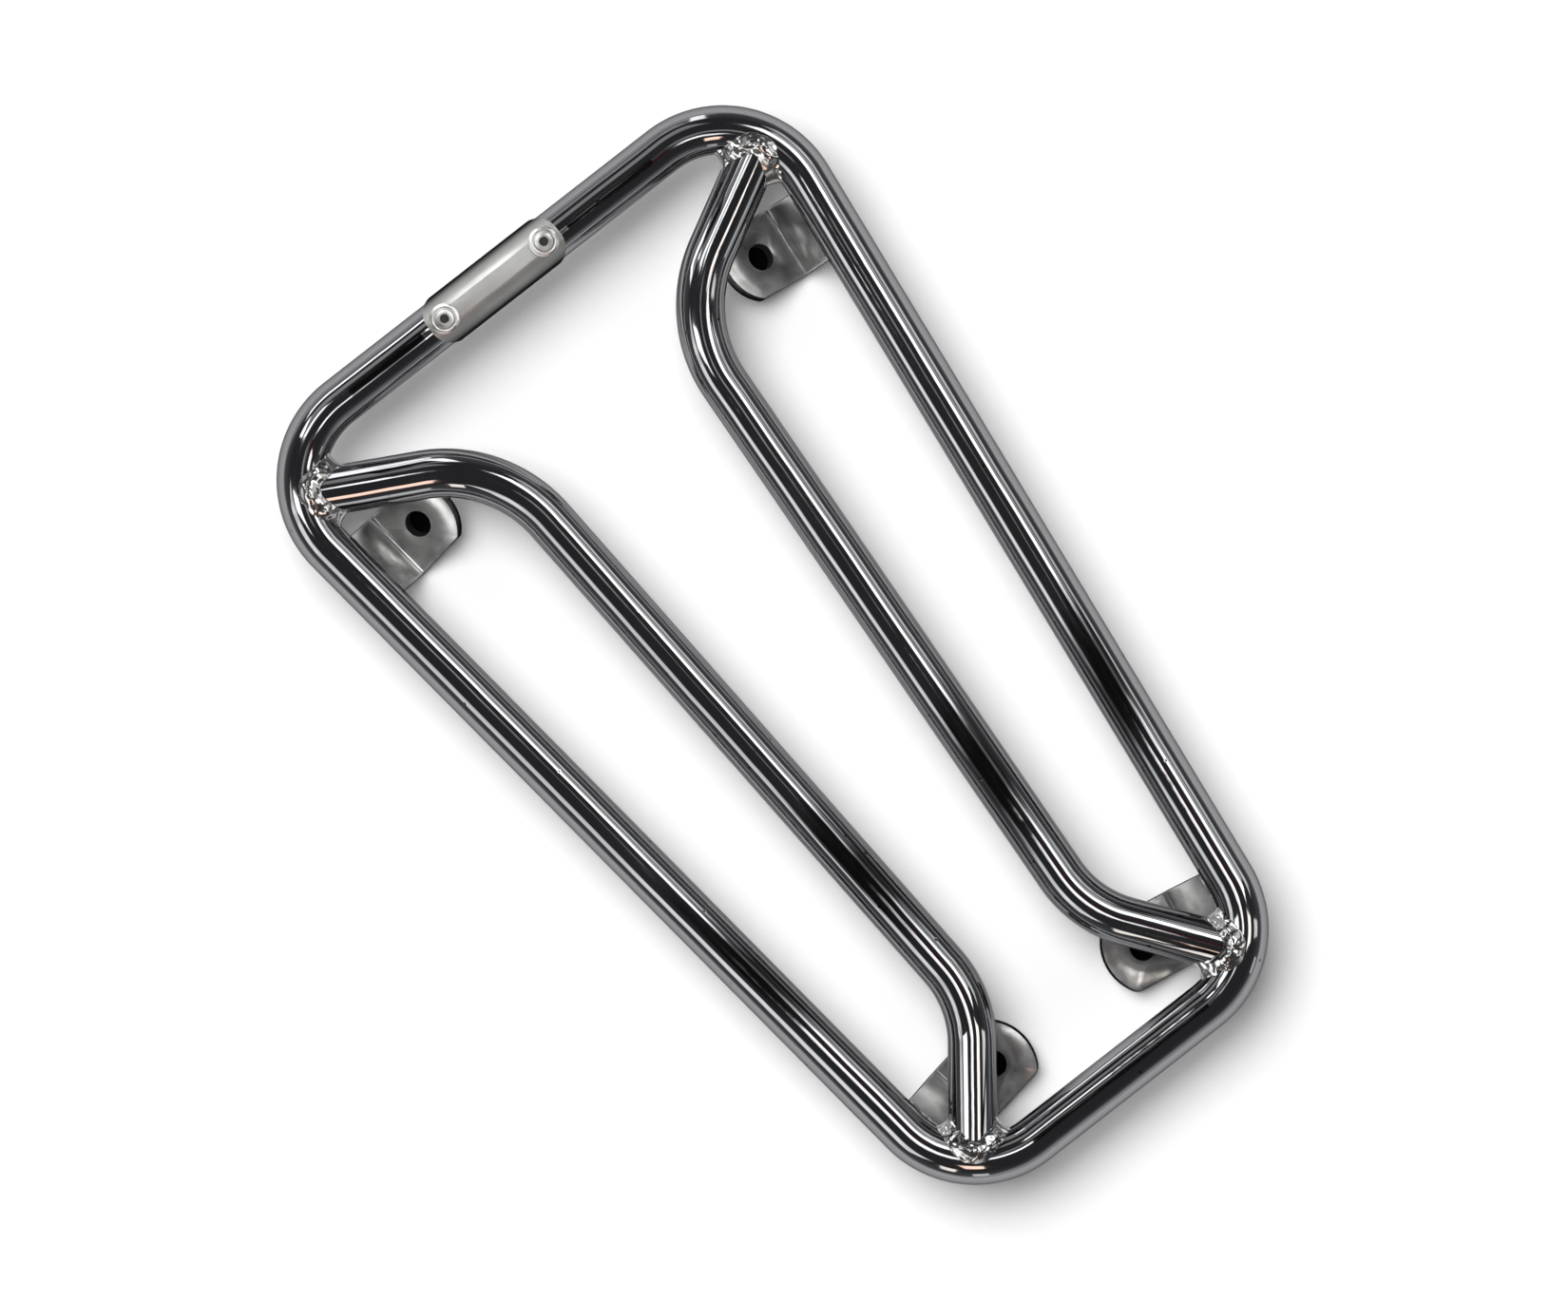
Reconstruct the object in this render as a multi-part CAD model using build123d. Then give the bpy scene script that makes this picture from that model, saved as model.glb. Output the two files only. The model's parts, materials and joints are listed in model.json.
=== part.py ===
"""Motorcycle luggage rack: a closed tube loop with two inner rails, four folded mounting tabs and a
riveted badge plate. Millimetres, +Z up, +Y from the wide end to the narrow end, left at -X.
The origin is under the middle of the rack, on the plane that the tabs' folds stand on."""
import os
from math import atan2, cos, degrees, radians, sin, sqrt, tan

from build123d import *

# Tube stock
tube_diameter = 16.0
tube_wall = 2.0

# Outer loop, between tube centre lines, with widths to the corners before bending
loop_length = 327.0
wide_end_width = 204.5
narrow_end_width = 126.8
loop_bend_radius = 32.0
tube_height = 27.2

# Rail bends: setback from the nearer end tube, spacing between the two rails, bend radius
wide_rail_setback = 47.0
wide_rail_spacing = 74.8
wide_rail_bend_radius = 45.0
narrow_rail_setback = 48.7
narrow_rail_spacing = 46.6
narrow_rail_bend_radius = 38.0

# Where a rail lands on the loop's corner bend, in degrees from mid-bend towards the side tube
wide_landing_angle = 13.0
narrow_landing_angle = -3.0

# Weld beads
weld_root_gap = 0.2
rail_bead_radius = 2.8
rail_bead_cap = 1.7
tab_bead_leg = 2.0
tab_bead_end_inset = 1.0

# Tab flat bar
tab_width = 25.0
tab_thickness = 4.0
tab_edge_radius = 0.6
tab_inside_bend_radius = 2.0
tab_hole_diameter = 9.0
tab_tip_past_hole = 13.2

# Tabs of the wide end: place along the side tube, turn in plan, web and foot angles, fold to hole, tip
wide_tab_setback = 50.0
wide_tab_yaw = 0.0
wide_tab_web_angle = 60.0
wide_tab_foot_tilt = 30.0
wide_tab_hole_reach = 13.4
wide_tab_tip_crown = 7.0
wide_tab_tip_corner_radius = 2.0

# Tabs of the narrow end, in the same way
narrow_tab_setback = 21.4
narrow_tab_yaw = 3.0
narrow_tab_web_angle = 52.0
narrow_tab_foot_tilt = 12.0
narrow_tab_hole_reach = 16.3
narrow_tab_tip_crown = 5.5
narrow_tab_tip_corner_radius = 4.0

# Badge plate, wrapped over the wide end's tube
plate_length = 52.5
plate_thickness = 0.8
plate_wrap_angle = 156.0
plate_corner_radius = 7.5
plate_offset = 2.4
plate_seat_gap = 0.05

# Blind rivets
rivet_spacing = 40.7
rivet_head_diameter = 10.0
rivet_head_height = 1.6
rivet_head_rim = 0.5
rivet_shank_diameter = 4.8
rivet_hole_clearance = 0.1
rivet_bore_diameter = 3.0
rivet_bulb_diameter = 6.8
rivet_bulb_length = 4.2
mandrel_diameter = 2.7
mandrel_head_diameter = 4.4
mandrel_head_length = 2.0
mandrel_break_depth = 0.9

# Sizes that follow from these
tube_radius = tube_diameter / 2
tube_inner_radius = tube_radius - tube_wall
tab_weld_thickness = tab_thickness + 2 * tab_bead_leg
plate_inner_radius = tube_radius + plate_seat_gap
plate_outer_radius = plate_inner_radius + plate_thickness
plate_edge_height = plate_inner_radius * cos(radians(plate_wrap_angle / 2))
plate_reach = sqrt(plate_outer_radius**2 - plate_edge_height**2)
wide_end_y = (plate_reach - tube_radius - loop_length) / 2
narrow_end_y = wide_end_y + loop_length
side_lean = degrees(atan2((wide_end_width - narrow_end_width) / 2, loop_length))
side_length = loop_length / cos(radians(side_lean))


def in_plane(x, y):
    """A point on the plane of the tubes' centre lines."""
    return Vector(x, y, tube_height)


def direction(angle):
    """A level direction, in degrees from +X towards +Y."""
    return Vector(cos(radians(angle)), sin(radians(angle)), 0)


def bar_along(path, outer_radius, inner_radius=0.0):
    """A round bar, or a tube where an inner radius is given, along a path."""
    section = Circle(outer_radius)
    if inner_radius > 0:
        section -= Circle(inner_radius)
    return sweep(Plane(origin=path @ 0, z_dir=path % 0) * section, path)


def mirrored(piece):
    """The left-hand piece that matches a right-hand one."""
    return mirror(piece, about=Plane.YZ)


# Right half of the loop's centre line
wide_corner = in_plane(wide_end_width / 2, wide_end_y)
narrow_corner = in_plane(narrow_end_width / 2, narrow_end_y)
side_direction = (narrow_corner - wide_corner).normalized()
half_loop_path = FilletPolyline(
    in_plane(0, wide_end_y), wide_corner, narrow_corner, in_plane(0, narrow_end_y), radius=loop_bend_radius
)
half_loop_bar = bar_along(half_loop_path, tube_radius)
half_loop_cutter = bar_along(half_loop_path, tube_radius + weld_root_gap)


def bend_centre(end_y, towards_middle):
    """Centre of the loop's corner bend, one bend radius inside the end tube and the side tube."""
    y = end_y + towards_middle * loop_bend_radius
    side_x = wide_end_width / 2 - (y - wide_end_y) * tan(radians(side_lean))
    return in_plane(side_x - loop_bend_radius / cos(radians(side_lean)), y)


def landing_point(centre, corner, turn):
    """Point on the bend's centre line, turned by an angle from mid-bend."""
    middle = corner - centre
    return centre + direction(degrees(atan2(middle.Y, middle.X)) + turn) * loop_bend_radius


wide_bend_centre = bend_centre(wide_end_y, 1)
narrow_bend_centre = bend_centre(narrow_end_y, -1)
wide_landing = landing_point(wide_bend_centre, wide_corner, wide_landing_angle)
narrow_landing = landing_point(narrow_bend_centre, narrow_corner, -narrow_landing_angle)

# Right rail: landed on both corner bends, coped to the loop with a root gap for the weld
wide_rail_bend = in_plane(wide_rail_spacing / 2, wide_end_y + wide_rail_setback)
narrow_rail_bend = in_plane(narrow_rail_spacing / 2, narrow_end_y - narrow_rail_setback)
rail_path = FilletPolyline(
    wide_landing,
    wide_rail_bend,
    narrow_rail_bend,
    narrow_landing,
    radius=[wide_rail_bend_radius, narrow_rail_bend_radius],
)
rail_bar = bar_along(rail_path, tube_radius)
rail = bar_along(rail_path, tube_radius, tube_inner_radius) - half_loop_cutter


def bead_ring(landing, side_point):
    """A ring in the upright plane through the landing point and the notch beside the rail. It fills the
    notch and sinks towards the tops of the tubes, where only a low cap shows."""
    notch = side_point - landing
    along = notch.normalized()
    ring_radius = tube_radius + rail_bead_cap - rail_bead_radius
    ring_centre = side_point - along * ring_radius
    ring_plane = Plane(origin=ring_centre, x_dir=along, z_dir=along.cross(Vector(0, 0, 1)))
    return ring_plane * Torus(ring_radius, rail_bead_radius)


def rail_weld(landing, rail_bend, centre):
    """The bead round one rail end: a ring on each side of the rail, cut back to both tubes."""
    inward = (rail_bend - landing).normalized()
    across = inward.cross(Vector(0, 0, 1))
    rings = []
    for side in (-1, 1):
        start = landing + across * (side * tube_radius)
        to_centre = centre - start
        ahead = to_centre.dot(inward)
        inner_radius = loop_bend_radius - tube_radius
        reach = ahead - sqrt(ahead**2 - to_centre.length**2 + inner_radius**2)
        rings.append(bead_ring(landing, start + inward * reach))
    return rings[0] + rings[1] - half_loop_bar - rail_bar


def tab_fold(web_angle, foot_tilt):
    """Where the web's and the foot's middle planes cross, inward and up from the tube's centre, for a
    web that points at the tube's centre and a fold whose outside just reaches the standing plane."""
    middle_radius = tab_inside_bend_radius + tab_thickness / 2
    fold_height = tab_inside_bend_radius + tab_thickness - tube_height
    fold_inward = (middle_radius - fold_height * cos(radians(web_angle))) / sin(radians(web_angle))
    drop = middle_radius / cos(radians((web_angle + foot_tilt) / 2))
    lean = radians((foot_tilt - web_angle) / 2)
    return Vector(fold_inward + drop * sin(lean), fold_height - drop * cos(lean), 0)


def tab_place(setback_from_wide, yaw):
    """Frame on the side tube's centre line: x inward, y up, z along the tube to the narrow end, turned
    in plan so that the foot points towards the wide end."""
    origin = wide_corner + side_direction * setback_from_wide
    heading = 90 + side_lean + yaw
    return Plane(origin=origin, x_dir=direction(heading + 90), z_dir=direction(heading))


def folded_tab(place, web_angle, foot_tilt, hole_reach, tip_crown, tip_corner_radius):
    """A flat bar folded once: the web stands under the tube, the foot carries the bolt hole."""
    fold = tab_fold(web_angle, foot_tilt)
    web_start = direction(-web_angle) * tube_inner_radius
    foot = direction(foot_tilt)
    tip = fold + foot * (hole_reach + tab_tip_past_hole)
    path = FilletPolyline(web_start, fold, tip, radius=tab_inside_bend_radius + tab_thickness / 2)
    section_plane = Plane(origin=path @ 0, x_dir=(0, 0, 1), z_dir=path % 0)
    strip = sweep(section_plane * RectangleRounded(tab_width, tab_thickness, tab_edge_radius), path)
    hole_plane = Plane(origin=fold + foot * hole_reach, x_dir=foot, z_dir=direction(foot_tilt + 90))
    strip -= hole_plane * Cylinder(tab_hole_diameter / 2, 2 * tab_thickness)
    tip_radius = ((tab_width / 2) ** 2 + tip_crown**2) / (2 * tip_crown)
    tip_centre = tab_tip_past_hole - tip_radius
    tip_end = Pos(tip_centre, 0) * Circle(tip_radius) & Rectangle(4 * tip_radius, tab_width)
    tip_end = fillet(tip_end.vertices().group_by(Axis.X)[-1], tip_corner_radius)
    beyond = Pos(tip_centre + tip_radius, 0) * Rectangle(2 * tip_radius, 2 * tab_width) - tip_end
    strip -= hole_plane * extrude(beyond, tab_thickness, both=True)
    return place * strip - half_loop_cutter


def web_slab(place, web_angle, reach, thickness, width):
    """A plain slab on the web's middle plane, from inside the tube's wall out to a reach."""
    web = direction(-web_angle)
    slab_plane = Plane(origin=web * (tube_inner_radius + reach) / 2, x_dir=web, z_dir=(0, 0, 1))
    return place * (slab_plane * Box(reach - tube_inner_radius, thickness, width))


def tab_weld(place, web_angle, tab):
    """Two fillet beads, one on each face of the web, along the tube that it stands under."""
    outer_radius = tube_radius + tab_bead_leg
    slab = web_slab(place, web_angle, outer_radius, tab_weld_thickness, tab_width - 2 * tab_bead_end_inset)
    sleeve = bar_along(half_loop_path, outer_radius) - half_loop_bar
    return slab & sleeve - tab


wide_tab_place = tab_place(wide_tab_setback, wide_tab_yaw)
narrow_tab_place = tab_place(side_length - narrow_tab_setback, narrow_tab_yaw)
wide_tab = folded_tab(
    wide_tab_place,
    wide_tab_web_angle,
    wide_tab_foot_tilt,
    wide_tab_hole_reach,
    wide_tab_tip_crown,
    wide_tab_tip_corner_radius,
)
narrow_tab = folded_tab(
    narrow_tab_place,
    narrow_tab_web_angle,
    narrow_tab_foot_tilt,
    narrow_tab_hole_reach,
    narrow_tab_tip_crown,
    narrow_tab_tip_corner_radius,
)
wide_tab_weld = tab_weld(wide_tab_place, wide_tab_web_angle, wide_tab)
narrow_tab_weld = tab_weld(narrow_tab_place, narrow_tab_web_angle, narrow_tab)

# The narrow rail's bead stops short of the tab's web and of the beads beside it
wide_rail_weld = rail_weld(wide_landing, wide_rail_bend, wide_bend_centre)
narrow_rail_weld = rail_weld(narrow_landing, narrow_rail_bend, narrow_bend_centre) - web_slab(
    narrow_tab_place,
    narrow_tab_web_angle,
    tube_height,
    tab_weld_thickness + 2 * weld_root_gap,
    tab_width + 2 * weld_root_gap,
)

# Badge plate: a sleeve over the tube's crown, trimmed to a plan outline with round corners
plate_axis = Plane(origin=in_plane(plate_offset, wide_end_y), x_dir=(0, 1, 0), z_dir=(1, 0, 0))
plate_ring = Cylinder(plate_outer_radius, plate_length) - Cylinder(plate_inner_radius, plate_length)
plate_outline = RectangleRounded(plate_length, 2 * plate_outer_radius, plate_corner_radius)
plate_above = Pos(plate_offset, wide_end_y, tube_height + plate_edge_height) * extrude(
    plate_outline, plate_outer_radius
)
badge_plate = (plate_axis * plate_ring) & plate_above


def rivet_body():
    """A set blind rivet, from the tube's centre up: bulb inside the wall, shank and domed head."""
    crest = plate_outer_radius
    half_head = rivet_head_diameter / 2
    dome_rise = rivet_head_height - rivet_head_rim
    dome_radius = (half_head**2 + dome_rise**2) / (2 * dome_rise)
    head = Pos(0, 0, crest + rivet_head_rim) * Cylinder(half_head, 2 * crest)
    head &= Pos(0, 0, crest + rivet_head_height - dome_radius) * Sphere(dome_radius)
    head &= Pos(0, 0, crest) * Box(rivet_head_diameter, rivet_head_diameter, crest)
    plate_cylinder = Rot(0, 90, 0) * Cylinder(plate_outer_radius, 2 * rivet_head_diameter)
    head -= plate_cylinder
    shank_length = crest + rivet_head_rim - bulb_bottom
    shank = Pos(0, 0, bulb_bottom + shank_length / 2) * Cylinder(rivet_shank_diameter / 2, shank_length)
    bulb = Pos(0, 0, bulb_bottom + tube_inner_radius / 2) * Cylinder(rivet_bulb_diameter / 2, tube_inner_radius)
    bulb &= Rot(0, 90, 0) * Cylinder(tube_inner_radius - plate_seat_gap, 2 * rivet_head_diameter)
    bore = Cylinder(rivet_bore_diameter / 2, 4 * crest)
    return head + shank + bulb - bore


def rivet_mandrel():
    """The pulling pin's remnant: its head under the bulb, its stem broken off inside the bore."""
    stem_top = plate_outer_radius + rivet_head_height - mandrel_break_depth
    stem_length = stem_top - bulb_bottom + plate_seat_gap
    stem = Pos(0, 0, stem_top - stem_length / 2) * Cylinder(mandrel_diameter / 2, stem_length)
    head_top = bulb_bottom - plate_seat_gap
    head = Pos(0, 0, head_top - mandrel_head_length / 2) * Cylinder(mandrel_head_diameter / 2, mandrel_head_length)
    return stem + head


bulb_bottom = tube_inner_radius - rivet_bulb_length
rivet_places = {
    "left": Pos(plate_offset - rivet_spacing / 2, wide_end_y, tube_height),
    "right": Pos(plate_offset + rivet_spacing / 2, wide_end_y, tube_height),
}
rivet_hole = Pos(0, 0, plate_outer_radius) * Cylinder(
    rivet_shank_diameter / 2 + rivet_hole_clearance, 2 * plate_outer_radius - tube_inner_radius
)

# Outer loop: both halves joined in one tube, drilled for the rivets
half_loop = bar_along(half_loop_path, tube_radius, tube_inner_radius)
outer_loop = half_loop + mirrored(half_loop)
for place in rivet_places.values():
    outer_loop -= place * rivet_hole
    badge_plate -= place * rivet_hole

right_hand_pieces = {
    "rail": rail,
    "wide_tab": wide_tab,
    "narrow_tab": narrow_tab,
    "wide_rail_weld": wide_rail_weld,
    "narrow_rail_weld": narrow_rail_weld,
    "wide_tab_weld": wide_tab_weld,
    "narrow_tab_weld": narrow_tab_weld,
}
nodes = {"outer_loop": outer_loop, "badge_plate": badge_plate}
for name, piece in right_hand_pieces.items():
    nodes[name + "_right"] = piece
    nodes[name + "_left"] = mirrored(piece)
for side, place in rivet_places.items():
    nodes["rivet_" + side] = place * rivet_body()
    nodes["rivet_mandrel_" + side] = place * rivet_mandrel()

os.makedirs("parts", exist_ok=True)
for name, piece in nodes.items():
    export_step(piece, f"parts/{name}.step")
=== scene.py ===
"""Chromed tube luggage rack on a plain white floor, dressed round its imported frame."""
import json
from math import acos, atan2, cos, pi, radians, sin, sqrt, tan

import bmesh
import bpy
from mathutils import Euler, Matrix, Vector


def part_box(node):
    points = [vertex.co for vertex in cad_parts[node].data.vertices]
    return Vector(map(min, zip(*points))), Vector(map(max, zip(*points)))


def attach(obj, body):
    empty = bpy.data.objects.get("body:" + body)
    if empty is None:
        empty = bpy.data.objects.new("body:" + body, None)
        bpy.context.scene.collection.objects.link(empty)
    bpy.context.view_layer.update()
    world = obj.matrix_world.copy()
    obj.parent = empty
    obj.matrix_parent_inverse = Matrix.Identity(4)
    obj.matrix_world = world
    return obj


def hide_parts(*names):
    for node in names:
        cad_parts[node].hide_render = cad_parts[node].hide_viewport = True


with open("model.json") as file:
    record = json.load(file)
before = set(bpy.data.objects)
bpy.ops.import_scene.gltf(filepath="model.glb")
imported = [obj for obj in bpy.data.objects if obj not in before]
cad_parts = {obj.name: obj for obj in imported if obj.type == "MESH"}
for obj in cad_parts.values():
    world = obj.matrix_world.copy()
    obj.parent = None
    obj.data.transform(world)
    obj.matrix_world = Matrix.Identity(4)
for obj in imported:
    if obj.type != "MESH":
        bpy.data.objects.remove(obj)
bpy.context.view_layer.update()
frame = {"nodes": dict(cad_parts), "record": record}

# Outer loop: one round steel tube, bent to a tapered rectangle and welded into a ring.
# It is polished and chrome plated after welding, so its skin runs smoothly through the bends.
# Its radius here is a hair under the true 8 mm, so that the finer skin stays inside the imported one.
MM = 0.001
TUBE_RADIUS = 7.97 * MM
LOOP_BEND_RADIUS = 32.0 * MM
LOOP_LENGTH = 327.0 * MM
WIDE_END_WIDTH = 204.5 * MM
NARROW_END_WIDTH = 126.8 * MM
TUBE_SIDES = 96
BEND_STEPS = 56

loop_lo, loop_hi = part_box("outer_loop")
tube_height = (loop_lo.z + loop_hi.z) / 2
wide_end_y = loop_hi.y - LOOP_LENGTH - TUBE_RADIUS
narrow_end_y = loop_hi.y - TUBE_RADIUS
side_lean = atan2((WIDE_END_WIDTH - NARROW_END_WIDTH) / 2, narrow_end_y - wide_end_y)


def linear(hex_colour):
    """An sRGB hex colour as linear RGBA."""
    parts = [int(hex_colour[i:i + 2], 16) / 255 for i in (1, 3, 5)]
    return tuple(p / 12.92 if p <= 0.04045 else ((p + 0.055) / 1.055) ** 2.4 for p in parts) + (1.0,)


def add_node(tree, kind, settings=None, inputs=None):
    """Adds a node. An input is a value, a socket, or a node whose first output it takes."""
    node = tree.nodes.new(kind)
    for name, value in (settings or {}).items():
        setattr(node, name, value)
    for name, value in (inputs or {}).items():
        if isinstance(value, bpy.types.Node):
            value = value.outputs[0]
        if isinstance(value, bpy.types.NodeSocket):
            tree.links.new(value, node.inputs[name])
        else:
            node.inputs[name].default_value = value
    return node


def new_material(name):
    """An empty node material and its tree."""
    material = bpy.data.materials.new(name)
    material.use_nodes = True
    material.node_tree.nodes.clear()
    return material, material.node_tree


def new_geometry_tree(name, numbers, objects=()):
    """A geometry tree with a geometry socket each way and named number and object inputs."""
    tree = bpy.data.node_groups.new(name, "GeometryNodeTree")
    tree.interface.new_socket("Geometry", in_out="INPUT", socket_type="NodeSocketGeometry")
    tree.interface.new_socket("Geometry", in_out="OUTPUT", socket_type="NodeSocketGeometry")
    for label in numbers:
        tree.interface.new_socket(label, in_out="INPUT", socket_type="NodeSocketFloat")
    for label in objects:
        tree.interface.new_socket(label, in_out="INPUT", socket_type="NodeSocketObject")
    return tree, add_node(tree, "NodeGroupInput").outputs


def shape_with(host, tree, values):
    """Puts a geometry tree on an object, with its inputs set before it first runs."""
    modifier = host.modifiers.new("shape", "NODES")
    modifier.node_group = tree
    for socket in tree.interface.items_tree:
        if socket.in_out == "INPUT" and socket.name in values:
            modifier[socket.identifier] = values[socket.name]


def as_plain_mesh(host):
    """What an object's modifiers make of it, as a plain mesh."""
    return bpy.data.meshes.new_from_object(host.evaluated_get(bpy.context.evaluated_depsgraph_get()))


def placed(name, data):
    """A new object in the scene, at the origin."""
    piece = bpy.data.objects.new(name, data)
    bpy.context.scene.collection.objects.link(piece)
    return piece


def line_object(name, points, closed, point_numbers=None):
    """An object that is only a line through points, with numbers kept at each point."""
    line = bpy.data.meshes.new(name)
    last = len(points) if closed else len(points) - 1
    line.from_pydata(points, [(i, (i + 1) % len(points)) for i in range(last)], [])
    for label, numbers in (point_numbers or {}).items():
        line.attributes.new(label, "FLOAT", "POINT").data.foreach_set("value", numbers)
    return placed(name, line)


def close_geometry_tree(tree, geometry, material):
    """Ends a geometry tree with smooth, real geometry in one finish."""
    smooth = add_node(tree, "GeometryNodeSetShadeSmooth", None, {0: geometry})
    real = add_node(tree, "GeometryNodeRealizeInstances", None, {0: smooth})
    finished = add_node(tree, "GeometryNodeSetMaterial", None, {"Geometry": real, "Material": material})
    add_node(tree, "NodeGroupOutput", None, {0: finished})


def grown_along(name, points, closed, tree, values, point_numbers=None):
    """Runs a geometry tree on a line through points and returns its result as a plain mesh piece."""
    host = line_object(name + "_line", points, closed, point_numbers)
    shape_with(host, tree, values)
    mesh = as_plain_mesh(host)
    bpy.data.objects.remove(host)
    return placed(name, mesh)


# Bright chrome over steel: a dark mirror whose reflections wander slightly with the polishing,
# with a faint haze in patches and a few pin-head pits under the plate.
chrome_tube, tree = new_material("polished_chrome_tube")
coords = add_node(tree, "ShaderNodeTexCoord").outputs["Object"]
polish_wave_mm = 14.0
bend_wave_mm = 50.0
haze_patch_mm = 24.0
pit_spacing_mm = 9.0
wave = add_node(tree, "ShaderNodeTexNoise", None,
                {"Vector": coords, "Scale": 1000 / polish_wave_mm, "Detail": 2.0})
long_wave = add_node(tree, "ShaderNodeTexNoise", None,
                     {"Vector": coords, "Scale": 1000 / bend_wave_mm, "Detail": 1.0})
haze = add_node(tree, "ShaderNodeTexNoise", None,
                {"Vector": coords, "Scale": 1000 / haze_patch_mm, "Detail": 4.0})
pits = add_node(tree, "ShaderNodeTexVoronoi", None, {"Vector": coords, "Scale": 1000 / pit_spacing_mm})
pit_mask = add_node(tree, "ShaderNodeMapRange", None,
                    {"Value": pits.outputs["Distance"], "From Min": 0.03, "From Max": 0.075,
                     "To Min": 1.0, "To Max": 0.0})
roughness = add_node(tree, "ShaderNodeMapRange", None,
                     {"Value": haze.outputs["Fac"], "From Min": 0.35, "From Max": 0.75,
                      "To Min": 0.035, "To Max": 0.11})
tube_colour = add_node(tree, "ShaderNodeMix", {"data_type": "RGBA"},
                       {"Factor": pit_mask, "A": linear("#909092"), "B": linear("#4c4a48")})
long_bump = add_node(tree, "ShaderNodeBump", None,
                     {"Height": long_wave.outputs["Fac"], "Strength": 1.0, "Distance": 1.0 * MM})
wave_bump = add_node(tree, "ShaderNodeBump", None,
                     {"Height": wave.outputs["Fac"], "Strength": 1.0, "Distance": 0.08 * MM,
                      "Normal": long_bump})
pit_bump = add_node(tree, "ShaderNodeBump", {"invert": True},
                    {"Height": pit_mask, "Strength": 0.6, "Distance": 0.05 * MM, "Normal": wave_bump})
shader = add_node(tree, "ShaderNodeBsdfPrincipled", None,
                  {"Base Color": tube_colour.outputs["Result"], "Metallic": 1.0, "Roughness": roughness,
                   "Specular Tint": linear("#9a9a9a"), "Normal": pit_bump})
add_node(tree, "ShaderNodeOutputMaterial", None, {"Surface": shader})

# The tube itself is a round section swept along a line whose corners are rounded to the bend radius.
tube_tree, given = new_geometry_tree("bent_tube", ["Tube radius", "Bend steps", "Tube sides"])
line = add_node(tube_tree, "GeometryNodeMeshToCurve", None, {"Mesh": given["Geometry"]})
bend_radius = add_node(tube_tree, "GeometryNodeInputNamedAttribute", {"data_type": "FLOAT"},
                       {"Name": "bend_radius"})
bent = add_node(tube_tree, "GeometryNodeFilletCurve", {"mode": "POLY"},
                {"Curve": line, "Count": given["Bend steps"], "Radius": bend_radius})
section = add_node(tube_tree, "GeometryNodeCurvePrimitiveCircle", None,
                   {"Resolution": given["Tube sides"], "Radius": given["Tube radius"]})
skin = add_node(tube_tree, "GeometryNodeCurveToMesh", None,
                {"Curve": bent, "Profile Curve": section, "Fill Caps": True})
close_geometry_tree(tube_tree, skin, chrome_tube)
tube_values = {"Tube radius": TUBE_RADIUS, "Bend steps": float(BEND_STEPS), "Tube sides": float(TUBE_SIDES)}

loop_corners = [
    Vector((-WIDE_END_WIDTH / 2, wide_end_y, tube_height)),
    Vector((WIDE_END_WIDTH / 2, wide_end_y, tube_height)),
    Vector((NARROW_END_WIDTH / 2, narrow_end_y, tube_height)),
    Vector((-NARROW_END_WIDTH / 2, narrow_end_y, tube_height)),
]
loop = grown_along("outer_loop_tube", loop_corners, True, tube_tree, tube_values,
                   {"bend_radius": [LOOP_BEND_RADIUS] * 4})
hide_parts("outer_loop")
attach(loop, "root")

# Inner rails: two shorter tubes of the same stock, bent twice, that splay out to the loop's corners.
# Their ends are coped to sit on the loop's bends and disappear under the weld beads there.

# A rail's bend is given as half the rails' spacing there, its setback from the end tube, and its radius.
# Its end lands on the loop's bend, a small turn round from the corner.
RAIL_BENDS = {"wide": (74.8 * MM / 2, 47.0 * MM, 45.0 * MM), "narrow": (46.6 * MM / 2, 48.7 * MM, 38.0 * MM)}
LANDING_TURN = {"wide": radians(13.0), "narrow": radians(3.0)}


def corner_of(end):
    """The right-hand corner, its bend centre and the way from it along the rack, at one end."""
    y, inward = (wide_end_y, 1.0) if end == "wide" else (narrow_end_y, -1.0)
    corner = loop_corners[1] if end == "wide" else loop_corners[2]
    centre_y = y + inward * LOOP_BEND_RADIUS
    side_x = WIDE_END_WIDTH / 2 - (centre_y - wide_end_y) * tan(side_lean)
    return corner, Vector((side_x - LOOP_BEND_RADIUS / cos(side_lean), centre_y, tube_height)), inward


def rail_points(end):
    """Where the right rail lands on the loop's bend at one end, and the rail's own bend next to it."""
    corner, centre, inward = corner_of(end)
    to_corner = corner - centre
    turn = atan2(to_corner.y, to_corner.x) + LANDING_TURN[end]
    landing = centre + Vector((cos(turn), sin(turn), 0.0)) * LOOP_BEND_RADIUS
    half_spacing, setback, _ = RAIL_BENDS[end]
    end_y = wide_end_y if end == "wide" else narrow_end_y
    return landing, Vector((half_spacing, end_y + inward * setback, tube_height))


def flipped(points):
    """The left-hand places that mirror right-hand ones."""
    return [Vector((-p.x, p.y, p.z)) for p in points]


wide_landing, wide_rail_bend = rail_points("wide")
narrow_landing, narrow_rail_bend = rail_points("narrow")
rail_line = [wide_landing, wide_rail_bend, narrow_rail_bend, narrow_landing]
rail_radii = {"bend_radius": [0.0, RAIL_BENDS["wide"][2], RAIL_BENDS["narrow"][2], 0.0]}
rails = {}
for side in ("left", "right"):
    points = rail_line if side == "right" else flipped(rail_line)
    rails[side] = grown_along("rail_tube_" + side, points, False, tube_tree, tube_values, rail_radii)
    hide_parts("rail_" + side)
    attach(rails[side], "root")

# Rail welds: weld metal run round each coped rail end, which fills the notches beside the rail.
# It is plated over unground, so it flows into both tubes with a lumpy, glittering skin.

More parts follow.
